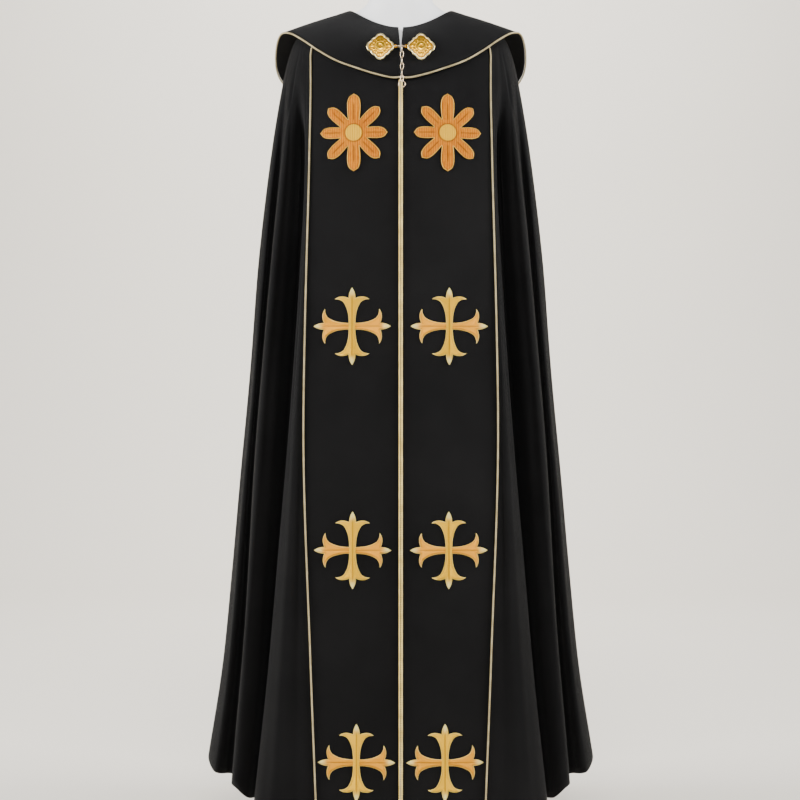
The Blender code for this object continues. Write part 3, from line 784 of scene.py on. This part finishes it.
def makeCope():
    band, bandPlaces = bandPoints()
    cloak, cloakPlaces = cloakPoints()
    band = creased(band, bandPlaces, bandCreases)
    cloak = creased(cloak, cloakPlaces, cloakCreases)
    cloak[:, -1, 0] = cope["seamGap"] / 2
    pieces = {"band": (drawnBack(band, -1, -2), straightCut(band), (0.19, 1.50), None),
              "cloak": (drawnBack(cloak, 0, 1), flatCut(cloak), (1.15, 1.52), 1.15)}
    for piece, (points, flat, size, area) in pieces.items():
        for hand, sign in sides:
            shown = points if sign > 0 else mirrored(points)
            places = flat if sign > 0 else flat[:, ::-1] * (-1, 1)
            name = piece + "Cloth" + hand.capitalize()
            mesh = gridMesh(name, shown, places)
            made = addPiece(name, mesh, clothFinish, stillBody, [piece + "_" + hand])
            thicken(made, cope["thickness"])
    return band, np.concatenate([band[:, :-1], cloak], axis=1)


band, cloth = makeCope()
clothTree = surfaceTree(cloth)
bandTrees = {"right": surfaceTree(band), "left": surfaceTree(mirrored(band))}
print("bands and cloak made")


# The wide collar, one sheet round the neck

collarRows = (  # angle at the neckline, then the outer edge's x, y, z and how far the cloth swells
    (0, 0.6, -136, 1413, 13),
    (9, 14, -136, 1412, 13),
    (22, 45, -133, 1419, 13),
    (38, 80, -126, 1431, 13),
    (52, 118, -113, 1447, 12),
    (64, 152, -93, 1469, 9),
    (74, 182, -67, 1493, 6),
    (82, 208, -37, 1511, 3),
    (90, 226, -6, 1514, 2),
    (100, 238, 32, 1490, 7),
    (112, 236, 80, 1448, 17),
    (128, 200, 126, 1414, 21),
    (150, 118, 162, 1392, 22),
    (180, 0, 176, 1384, 22),
)
collar = {
    "stepsPerPoint": 9,
    "rows": 30,
    "spacing": 1.3,
    "neckLift": 0.0068,
    "clearance": 0.0046,
    "openings": (4.2, 3.8, 2.8, 1.7, 0.9, 0.6, 0.6),
    "partingReach": 0.03,
    "softRounds": 3,
    "thickness": 0.0018,
}


def collarHalf():
    rows = np.array(collarRows, float)
    guides = smoothLine(rows[:, [0, 4, 4]], collar["stepsPerPoint"])
    edges = smoothLine(rows[:, 1:4] * mm, collar["stepsPerPoint"])
    necks = formPoint(formRows[0], guides[:, 0], collar["neckLift"])
    turn = np.radians(guides[:, 0])
    around = np.stack([np.cos(turn), np.sin(turn), np.zeros_like(turn)], axis=1)
    outward = unit(np.cross(edges - necks, around))
    share = (np.linspace(0, 1, collar["rows"] + 1) ** collar["spacing"])[:, None, None]
    swell = guides[:, 1][None, :, None] * mm * 4 * share * (1 - share)
    points = necks + (edges - necks) * share + outward * swell
    pushed = points.copy()
    for row in range(1, points.shape[0]):
        for column in range(points.shape[1]):
            point = Vector(points[row, column])
            nearest, way = clothTree.find_nearest(point)[:2]
            if (point - nearest).dot(way) < collar["clearance"]:
                pushed[row, column] = nearest + way * collar["clearance"]
    pushed = softened(pushed)
    given = np.linspace(0, 1, len(collar["openings"])) ** collar["spacing"]
    opened = np.interp(share.ravel(), given, collar["openings"])
    parting = collar["partingReach"]
    pushed[..., 0] += (opened * mm)[:, None] * np.clip(1 - pushed[..., 0] / parting, 0, 1)
    pushed[:, 0, 0] = opened * mm
    pushed[:, -1, 0] = 0.0
    return pushed


def softened(points):
    for turn in range(collar["softRounds"]):
        kept = points.copy()
        kept[1:-1, 1:-1] = (points[1:-1, 1:-1] * 2 + points[:-2, 1:-1] + points[2:, 1:-1]
                            + points[1:-1, :-2] + points[1:-1, 2:]) / 6
        points = kept
    return points


def makeCollar():
    half = collarHalf()
    whole = np.concatenate([half, mirrored(half)[:, 1:]], axis=1)
    mesh = gridMesh("collarCloth", whole, flatCut(whole))
    made = addPiece("collarCloth", mesh, collarFinish, stillBody, ["collar"])
    thicken(made, collar["thickness"])
    return whole


collarPoints = makeCollar()
print("collar made")


# Twisted cords along the edges

cord = {
    "radius": 0.0019,
    "seat": 0.0003,
    "pitch": 0.0085,
    "pointsPerTurn": 8,
    "strands": 2,
    "strandSize": 1.12,  # both against half the cord's radius
    "strandReach": 0.88,
    "frontRow": 12,  # rows of the cloth at which the cords start, under the collar
    "seamRow": 11,
}


def twistedCord(name, line, hint, finish, node):
    step = cord["pitch"] / cord["pointsPerTurn"]
    line = evenLine(line, step)
    along = unit(np.gradient(line, axis=0))
    first = unit(np.cross(along, np.array(hint, float)))
    second = np.cross(along, first)
    turn = np.arange(len(line)) * 2 * math.pi / cord["pointsPerTurn"]
    strand = cord["radius"] / 2
    lines = []
    for index in range(cord["strands"]):
        spin = (turn + index * 2 * math.pi / cord["strands"])[:, None]
        around = first * np.cos(spin) + second * np.sin(spin)
        lines.append(line + around * strand * cord["strandReach"])
    curve = wireCurve(name, strand * cord["strandSize"], smoothness=1, lines=lines, closed=False)
    addPiece(name, curve, finish, stillBody, [node])


def makeEdgeCords():
    lift = cord["radius"] + cord["seat"]
    lifted = cloth + outwardWays(cloth) * lift
    front = lifted[cord["frontRow"]:, 0].copy()
    front[:, 0] = cord["radius"] + cope["seamGap"] / 2
    seam = lifted[cord["seamRow"]:, band.shape[1] - 1]
    for hand, sign in sides:
        for edge, line, finish in (("front", front, goldCord), ("band", seam, paleCord)):
            twistedCord(edge + "Cord" + hand.capitalize(), line * (sign, 1, 1), (0, 1, 0), finish,
                        edge + "_braid_" + hand)
    edge = collarPoints[-1]
    along = unit(np.gradient(edge, axis=0))
    away = edge - collarPoints[-2]
    away = unit(away - along * np.sum(away * along, axis=1, keepdims=True))
    inward = -outwardWays(collarPoints)[-1] * collar["thickness"] / 2
    twistedCord("collarCord", edge + inward + away * lift, (0, 0, 1), paleCord, "collar_braid")


makeEdgeCords()
print("cords laid")


# Stitched motifs: a fine plate cut to the outline, raised, and laid on the band

motif = {"cell": 0.0012, "cutGap": 0.00003, "lift": 0.0005, "back": 0.0004}
cross = {
    "span": 0.142,
    "heights": (0.952, 0.542, 0.154),
    "offsets": (0.089, 0.088, 0.081),
    "levels": ("high", "middle", "low"),
    "arc": (((0.086, 0.086), (0.085, 0.42), (0.218, 0.615)),
            ((0.218, 0.615), (0.295, 0.7), (0.446, 0.7)),
            ((0.446, 0.7), (0.295, 0.82), (0.087, 0.728)),
            ((0.087, 0.728), (0.087, 0.88), (0.0, 1.0))),
    "stepsPerArc": 9,
    "crown": 0.0017,
    "crownWidth": 0.0045,
    "creaseDepth": 0.0005,
    "creaseWidth": 0.0009,
    "creaseFade": (0.72, 0.9),
    "overlap": 0.0007,
    "overlapReach": 0.45,
    "overlapFade": (0.12, 0.4),
    "paleEdge": 0.0011,
    "edgePaleness": 0.9,
    "tipFade": (0.66, 0.98),
    "tipRound": 0.93,
    "tipPaleness": 0.95,
}
ornament = {
    "petals": ((0, 0.62, 16), (45, 0.53, 15.5), (90, 0.46, 16), (135, 0.53, 15.5), (180, 0.6, 16)),
    "core": 0.34,
    "roundness": 3.6,
    "tip": 0.06,
    "tipSpread": 4,
    "size": 0.071,
    "points": 216,
    "height": 1.308,
    "offset": 0.086,
    "crown": 0.0018,
    "crownWidth": 0.006,
    "cellScale": 1.2,
    "edging": 0.0008,
    "edgingLift": 0.0004,
    "disc": 0.0165,
    "discEdge": 0.9,
    "discRise": 0.0007,
    "veinEvery": 45,
    "veinWidth": 0.0011,
    "veinDepth": 0.0008,
    "veinStart": (1.3, 1.6),
    "veinEnd": 0.058,
    "veinTaper": 0.85,
}


def crossOutline():
    side = []
    for start, towards, end in cross["arc"]:
        for step in range(cross["stepsPerArc"]):
            share = step / cross["stepsPerArc"]
            rest = 1 - share
            side.append(tuple(rest ** 2 * one + 2 * share * rest * two + share ** 2 * three
                              for one, two, three in zip(start, towards, end)))
    arm = [(-x, z) for x, z in side] + [(0, 1)] + side[:0:-1]
    outline = []
    for quarter in range(4):
        turn = quarter * math.pi / 2
        outline += [(x * math.cos(turn) + z * math.sin(turn), z * math.cos(turn) - x * math.sin(turn))
                    for x, z in arm]
    return np.array(outline) * cross["span"] / 2


def ornamentOutline():
    turn = np.arange(ornament["points"]) * 360 / ornament["points"]
    side = np.minimum(turn, 360 - turn)
    reach = np.full_like(turn, ornament["core"])
    for angle, size, spread in ornament["petals"]:
        apart = np.abs(side - angle)
        reach += size * np.exp(-(apart / spread) ** ornament["roundness"])
        reach += ornament["tip"] * np.exp(-apart / ornament["tipSpread"])
    reach *= ornament["size"]
    return np.stack([reach * np.sin(np.radians(turn)), reach * np.cos(np.radians(turn))], axis=1)


def cutPlate(outline, cell):
    shape = bmesh.new()
    shape.faces.new([shape.verts.new((x, 0, z)) for x, z in outline])
    reach = np.abs(outline).max()
    for axis in (Vector((1, 0, 0)), Vector((0, 0, 1))):
        for place in np.arange(-reach + cell / 2, reach, cell):
            everything = shape.verts[:] + shape.edges[:] + shape.faces[:]
            bmesh.ops.bisect_plane(shape, geom=everything, dist=motif["cutGap"],
                                   plane_co=axis * place, plane_no=axis)
    bmesh.ops.triangulate(shape, faces=[face for face in shape.faces if len(face.verts) > 4])
    places = np.array([(vert.co.x, vert.co.z) for vert in shape.verts])
    return shape, places, edgeDistance(places, outline)


def edgeDistance(places, outline):
    following = np.roll(outline, -1, axis=0)
    nearest = np.full(len(places), 1.0)
    for start, end in zip(outline, following):
        run = end - start
        share = np.clip(((places - start) @ run) / max(run @ run, 1e-12), 0, 1)
        nearest = np.minimum(nearest, np.linalg.norm(places - start - share[:, None] * run, axis=1))
    return nearest


def layPlate(name, plate, heights, tree, centreX, centreZ, finish, node, values, flat):
    shape = plate.copy()
    for vert, height in zip(shape.verts, heights):
        hit, way = frontHit(tree, centreX + vert.co.x, centreZ + vert.co.z)
        vert.co = hit + way * (motif["lift"] + height)
    bmesh.ops.recalc_face_normals(shape, faces=shape.faces)
    if sum(face.normal.y * face.calc_area() for face in shape.faces) > 0:
        bmesh.ops.reverse_faces(shape, faces=shape.faces)
    mesh = meshFrom(name, shape)
    setFlatMap(mesh, flat)
    for key, numbers in values.items():
        setValue(mesh, key, numbers)
    made = addPiece(name, mesh, finish, stillBody, [node])
    thicken(made, motif["back"])


def makeCrosses():
    outline = crossOutline()
    plate, places, distance = cutPlate(outline, motif["cell"])
    arm = cross["arc"][0][0][0] * cross["span"] / 2
    x = np.abs(places[:, 0])
    z = np.abs(places[:, 1])
    upright = (z >= x) | (x < arm)
    depth = np.where(np.maximum(x, z) < arm, np.maximum(arm - x, arm - z), distance)
    crown = np.sin(np.clip(depth / cross["crownWidth"], 0, 1) * math.pi / 2) * cross["crown"]
    across = np.where(upright, places[:, 0], places[:, 1])
    along = np.where(upright, places[:, 1], places[:, 0])
    reach = np.abs(along) / (cross["span"] / 2)
    # the centre crease of each arm: a groove in the relief, and the mask of its painted shade
    creaseAndShade = np.exp(-(across / cross["creaseWidth"]) ** 2)
    creaseAndShade = creaseAndShade * (1 - softStep(*cross["creaseFade"], reach))
    overlap = np.where(upright & (reach < cross["overlapReach"]), cross["overlap"], 0)
    overlap = overlap * (1 - softStep(*cross["overlapFade"], reach))
    height = crown - creaseAndShade * cross["creaseDepth"] + overlap
    edge = np.clip(1 - distance / cross["paleEdge"], 0, 1) * cross["edgePaleness"]
    away = np.hypot(places[:, 0], places[:, 1]) / (cross["span"] / 2) * cross["tipRound"]
    tips = softStep(*cross["tipFade"], np.maximum(reach, away))
    edge = np.clip(np.maximum(edge, tips * cross["tipPaleness"]), 0, 1)
    values = {"edge": edge, "creaseAndShade": creaseAndShade, "sideArm": np.where(upright, 0.0, 1.0)}
    flat = np.column_stack([across, along])
    for hand, sign in sides:
        for level, centreZ, offset in zip(cross["levels"], cross["heights"], cross["offsets"]):
            layPlate("cross%s%s" % (level.capitalize(), hand.capitalize()), plate, height,
                     bandTrees[hand], sign * offset, centreZ, crossFinish,
                     "cross_%s_%s" % (level, hand), values, flat)
    plate.free()


def makeOrnaments():
    outline = ornamentOutline()
    plate, places, distance = cutPlate(outline, motif["cell"] * ornament["cellScale"])
    crown = np.sin(np.clip(distance / ornament["crownWidth"], 0, 1) * math.pi / 2) * ornament["crown"]
    reach = np.hypot(places[:, 0], places[:, 1])
    every = ornament["veinEvery"]
    turn = np.degrees(np.arctan2(places[:, 0], places[:, 1])) % every
    apart = reach * np.sin(np.radians(np.minimum(turn, every - turn)))
    inner = softStep(*(ornament["disc"] * share for share in ornament["veinStart"]), reach)
    outer = 1 - softStep(ornament["veinEnd"] * ornament["veinTaper"], ornament["veinEnd"], reach)
    # veins between the petals and a ring round the disc: grooves in the relief, and the mask of their
    # painted shade
    ring = np.exp(-((reach - ornament["disc"]) / ornament["veinWidth"]) ** 2)
    veinAndShade = np.maximum(np.exp(-(apart / ornament["veinWidth"]) ** 2) * inner * outer, ring)
    disc = 1 - softStep(ornament["disc"] * ornament["discEdge"], ornament["disc"], reach)
    crown += disc * ornament["discRise"] - veinAndShade * ornament["veinDepth"]
    for hand, sign in sides:
        layPlate("rosette" + hand.capitalize(), plate, crown, bandTrees[hand],
                 sign * ornament["offset"], ornament["height"], ornamentFinish, "ornament_" + hand,
                 {"veinAndShade": veinAndShade, "disc": disc}, places)
        line = []
        for x, z in outline:
            hit, way = frontHit(bandTrees[hand], sign * ornament["offset"] + x, ornament["height"] + z)
            line.append(hit + way * (ornament["edging"] + ornament["edgingLift"]))
        curve = wireCurve("edging", ornament["edging"], smoothness=2, lines=[line], closed=True)
        addPiece("rosetteEdging" + hand.capitalize(), curve, edgingCord, stillBody)
    plate.free()


makeCrosses()
makeOrnaments()
print("motifs stitched")


# The clasps, their link and the chain's tail

clasp = {
    "offset": 0.0375,
    "height": 1.468,
    "radius": 0.0268,
    "power": 1.16,
    "notch": 0.035,
    "blunt": 0.965,
    "waves": 12,
    "steps": 144,
    "lift": 0.0012,
    "petals": 12,
    "beads": 30,
    "roundness": 0.72,
    "roundEnd": 0.42,
    "rimStart": 0.86,
    "paleRim": 0.85,
    "petalRing": (0.68, 0.09, 0.9),  # each ring's radius and width, as shares, and its height in mm
    "petalSharpness": 0.7,
    "beadRing": (0.49, 0.03, 0.5),
    "scrollRing": (0.72, 0.05, 0.6),
    "frontFrom": 3,  # these three in mm
    "shadeFrom": 3.2,
    "shadeRange": 1.6,
    "mergeGap": 0.000001,
    "profile": ((0.0, 3.4), (0.05, 3.4), (0.09, 3.2), (0.13, 3.4), (0.18, 4.3), (0.24, 4.6), (0.3, 4.5),
                (0.36, 4.3), (0.4, 3.8), (0.43, 3.7), (0.46, 3.9), (0.49, 4.0), (0.52, 3.9), (0.55, 3.7),
                (0.59, 3.6), (0.64, 3.6), (0.69, 3.7), (0.74, 3.6), (0.78, 3.5), (0.81, 3.4), (0.84, 3.5),
                (0.87, 4.0), (0.9, 4.4), (0.93, 4.5), (0.96, 4.4), (0.985, 4.0), (1.0, 3.4), (1.0, 1.6),
                (1.0, 0.2), (0.8, 0.0), (0.4, 0.0), (0.0, 0.0)),
}
chain = {
    "links": 6,
    "wire": 0.0007,
    "linkHalf": (0.007, 0.0028),  # half the length and half the width of a ring
    "endHalf": (0.0063, 0.0063),
    "acrossHalf": (0.0091, 0.003),
    "eyeHalf": (0.0026, 0.0026),
    "eyeWire": 0.0008,
    "eyeOffset": 0.0098,
    "ringPoints": 40,
    "smoothness": 3,
}


def reliefHeight(scale, turn):
    def ring(name, wave):
        radius, width, height = clasp[name]
        return wave * math.exp(-((scale - radius) / width) ** 2) * height
    petal = max(0.0, math.cos(clasp["petals"] * turn)) ** clasp["petalSharpness"]
    bead = max(0.0, math.cos(clasp["beads"] * turn))
    scroll = max(0.0, math.cos(clasp["petals"] * turn + math.pi))
    return (ring("petalRing", petal) + ring("beadRing", bead) + ring("scrollRing", scroll)) * mm


def makeClasp(hand, sign, tree):
    profile = [(scale, -height * mm, 0) for scale, height in clasp["profile"]]
    shape = spunShape(profile, (0, 1, 0), clasp["steps"], clasp["mergeGap"])
    heights = []
    rims = []
    for vert in shape.verts:
        scale = math.hypot(vert.co.x, vert.co.z)
        turn = math.atan2(vert.co.x, vert.co.z)
        corners = abs(math.sin(turn)) ** clasp["power"] + abs(math.cos(turn)) ** clasp["power"]
        wave = 1 - clasp["notch"] * math.cos(clasp["waves"] * turn)
        lozenge = min(corners ** (-1 / clasp["power"]) * wave, clasp["blunt"])
        outward = softStep(clasp["roundEnd"], clasp["rimStart"], scale)
        reach = (clasp["roundness"] + (lozenge - clasp["roundness"]) * outward) * clasp["radius"] * scale
        height = -vert.co.y
        if height > clasp["frontFrom"] * mm:
            height += reliefHeight(scale, turn)
        # the relief height, kept for the material's painted shade in the hollows and painted highlight on
        # raised parts
        heights.append((height / mm - clasp["shadeFrom"]) / clasp["shadeRange"])
        # the outer part of the clasp is marked for its painted highlight
        rims.append(1.0 if scale > clasp["paleRim"] else 0.0)
        hit, way = frontHit(tree, sign * clasp["offset"] + reach * math.sin(turn),
                            clasp["height"] + reach * math.cos(turn))
        vert.co = hit + way * (clasp["lift"] + height)
    mesh = meshFrom("clasp", shape)
    setValue(mesh, "height", heights)
    setValue(mesh, "rim", rims)
    addPiece("clasp" + hand.capitalize(), mesh, claspFinish, stillBody, ["clasp_" + hand])


def wireRing(name, centre, ways, half, wire, finish, body, nodes=()):
    line = []
    for step in range(chain["ringPoints"]):
        turn = 2 * math.pi * step / chain["ringPoints"]
        line.append(centre + ways[0] * half[0] * math.cos(turn) + ways[1] * half[1] * math.sin(turn))
    curve = wireCurve(name, wire, chain["smoothness"], [line], closed=True)
    addPiece(name, curve, finish, body, nodes)


def middleOf(node):
    low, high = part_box(node)
    return (low + high) / 2


def makeChain():
    sideways = Vector((1, 0, 0))
    fall = (middleOf("chain_end_ring") - middleOf("chain_tail_link_1")).normalized()
    flat = fall.cross(sideways).normalized()
    middle = middleOf("chain_link_across")
    wireRing("linkAcross", middle, (sideways, flat), chain["acrossHalf"], chain["wire"], wireFinish,
             stillBody, ["chain_link_across"])
    for hand, sign in sides:
        wireRing("claspEye" + hand.capitalize(), middle + sideways * sign * chain["eyeOffset"],
                 (sideways, fall), chain["eyeHalf"], chain["eyeWire"], claspFinish, stillBody)
    for index in range(chain["links"]):
        node = "chain_tail_link_%d" % (index + 1)
        ways = (fall, flat if index % 2 == 0 else sideways)
        wireRing("tailLink%d" % (index + 1), middleOf(node), ways, chain["linkHalf"], chain["wire"],
                 wireFinish, tailBody, [node])
    wireRing("tailEndRing", middleOf("chain_end_ring"), (fall, sideways), chain["endHalf"],
             chain["wire"], wireFinish, tailBody, ["chain_end_ring"])


collarTree = surfaceTree(collarPoints)
for hand, sign in sides:
    makeClasp(hand, sign, collarTree)
makeChain()
print("clasps and chain made")


# Floor, backdrop, light and camera

studio = {
    "colour": (0.88, 0.83, 0.74),
    "paler": 1.03,
    "floorHalf": 8.0,
    "floorShift": -1.5,
    "wallHeight": 7,
    "bendRadius": 2.0,
    "bendSteps": 16,
    "worldColour": (1, 0.97, 0.92, 1),
    "world": 0.12,
    "sensor": 36,
    "cameraDistance": 3.6,
    "frontPlane": -0.15,
    "frameSize": 1.464,
    "centreLine": -0.0013,
    "eyeHeight": 0.817,
    "lights": (((-3.3, -0.9, 2.6), (0, 0, 1.1), 1.6, 260),
               ((3.3, -0.9, 2.6), (0, 0, 1.1), 1.6, 230),
               ((0.0, -2.6, 3.0), (0, 0, 1.4), 1.2, 84),
               ((0.0, 3.2, 4.4), (0, 6.5, 1.4), 2.8, 330)),
}


def makeStudio():
    shape = bmesh.new()
    bmesh.ops.create_grid(shape, x_segments=1, y_segments=1, size=studio["floorHalf"])
    back = [edge for edge in shape.edges if min(vert.co.y for vert in edge.verts) > 0]
    wall = bmesh.ops.extrude_edge_only(shape, edges=back)["geom"]
    bmesh.ops.translate(shape, verts=[item for item in wall if isinstance(item, bmesh.types.BMVert)],
                        vec=(0, 0, studio["wallHeight"]))
    bend = [edge for edge in shape.edges if len(edge.link_faces) == 2]
    bmesh.ops.bevel(shape, geom=bend, offset=studio["bendRadius"], affect="EDGES",
                    segments=studio["bendSteps"], profile=0.5, material=-1)
    bmesh.ops.translate(shape, verts=shape.verts, vec=(0, studio["floorShift"], 0))
    mesh = meshFrom("studioFloor", shape)
    floor = placed("studioFloor", mesh)
    finish = Finish("paleFloor", roughness=0.8)
    tone = finish.noise(scale=1.5, detail=2.0)
    paler = tuple(part * studio["paler"] for part in studio["colour"])
    finish.set("Base Color", finish.mix(tone, studio["colour"], paler))
    mesh.materials.append(finish.material)
    world = bpy.data.worlds.new("softStudio")
    world.use_nodes = True
    background = world.node_tree.nodes["Background"].inputs
    background["Color"].default_value = studio["worldColour"]
    background["Strength"].default_value = studio["world"]
    bpy.context.scene.world = world
    for index, (place, target, size, power) in enumerate(studio["lights"]):
        lamp = bpy.data.lights.new("softBox%d" % index, "AREA")
        lamp.size = size
        lamp.energy = power
        holder = placed(lamp.name, lamp)
        holder.location = place
        holder.rotation_euler = (Vector(target) - Vector(place)).to_track_quat("-Z", "Y").to_euler()


def makeCamera():
    data = bpy.data.cameras.new("camera")
    data.sensor_width = studio["sensor"]
    data.lens = studio["sensor"] * studio["cameraDistance"] / studio["frameSize"]
    camera = placed("camera", data)
    camera.location = (studio["centreLine"], studio["frontPlane"] - studio["cameraDistance"],
                       studio["eyeHeight"])
    camera.rotation_euler = (math.pi / 2, 0, 0)
    bpy.context.scene.camera = camera


makeStudio()
makeCamera()
print("studio set")
